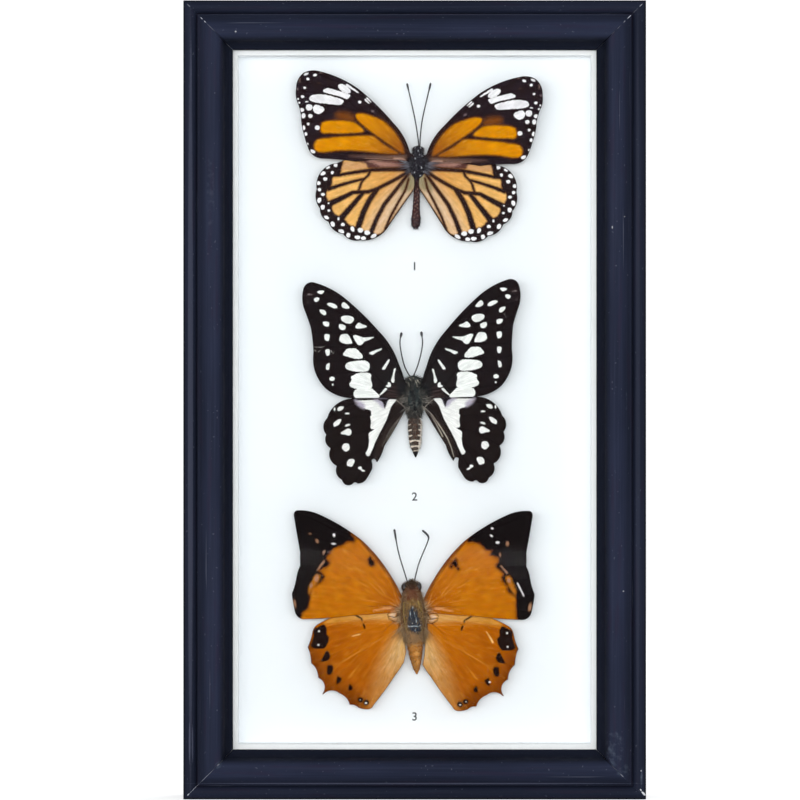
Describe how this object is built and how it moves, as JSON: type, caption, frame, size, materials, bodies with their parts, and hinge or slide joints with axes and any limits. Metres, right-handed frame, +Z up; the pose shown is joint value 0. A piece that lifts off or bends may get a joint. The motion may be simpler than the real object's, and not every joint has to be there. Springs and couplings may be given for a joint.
{
  "type": "butterfly display case",
  "caption": "Upright shadow-box display case: mitred dark moulding, glass front, white card with spread butterflies above label strips, and a swinging ring hanger on the back.",
  "frame": {"origin": "middle of the case's bottom, on the plane it stands on and halfway through its depth", "axes": "+X to the right and +Z up as the viewer sees the case, and -Y out through the glass towards the viewer"},
  "size_m": [0.15, 0.028, 0.259],
  "materials": {
    "painted_wood": "satin blue-black paint",
    "glass": "clear, polished",
    "white_card": "matte white",
    "white_fillet": "matte white",
    "hardboard": "brown pressed board",
    "steel": "plain",
    "brass": "plated",
    "label_paper": "matte white",
    "glue": "dried glue",
    "upper_wing": "matte scales",
    "middle_wing": "matte scales",
    "lower_wing": "matte scales",
    "upper_body": "dry and hairy",
    "middle_body": "dry and hairy",
    "lower_body": "dry and hairy"
  },
  "bodies": {
    "case": {"top_rail": "painted_wood", "bottom_rail": "painted_wood", "left_stile": "painted_wood", "right_stile": "painted_wood", "corner_v_nails": "steel", "glass_pane": "glass", "top_spacer": "white_fillet", "bottom_spacer": "white_fillet", "left_spacer": "white_fillet", "right_spacer": "white_fillet", "mount_card": "white_card", "backing_board": "hardboard", "framing_points": "steel", "hanger_strap": "brass", "hanger_rivet": "brass", "upper_label": "label_paper", "middle_label": "label_paper", "lower_label": "label_paper", "upper_body": "upper_body", "upper_antennae": "upper_body", "upper_left_forewing": "upper_wing", "upper_right_forewing": "upper_wing", "upper_left_hindwing": "upper_wing", "upper_right_hindwing": "upper_wing", "upper_glue_dab": "glue", "middle_body": "middle_body", "middle_antennae": "middle_body", "middle_left_forewing": "middle_wing", "middle_right_forewing": "middle_wing", "middle_left_hindwing": "middle_wing", "middle_right_hindwing": "middle_wing", "middle_glue_dab": "glue", "lower_body": "lower_body", "lower_antennae": "lower_body", "lower_left_forewing": "lower_wing", "lower_right_forewing": "lower_wing", "lower_left_hindwing": "lower_wing", "lower_right_hindwing": "lower_wing", "lower_glue_dab": "glue"},
    "ring": {"hanger_ring": "brass"}
  },
  "joints": [
    {"name": "hanger_ring_swing", "type": "hinge", "parent": "case", "child": "ring", "pos_m": [0, 0.01148, 0.224], "axis": [1, 0, 0], "range_deg": [0, 180]}
  ]
}
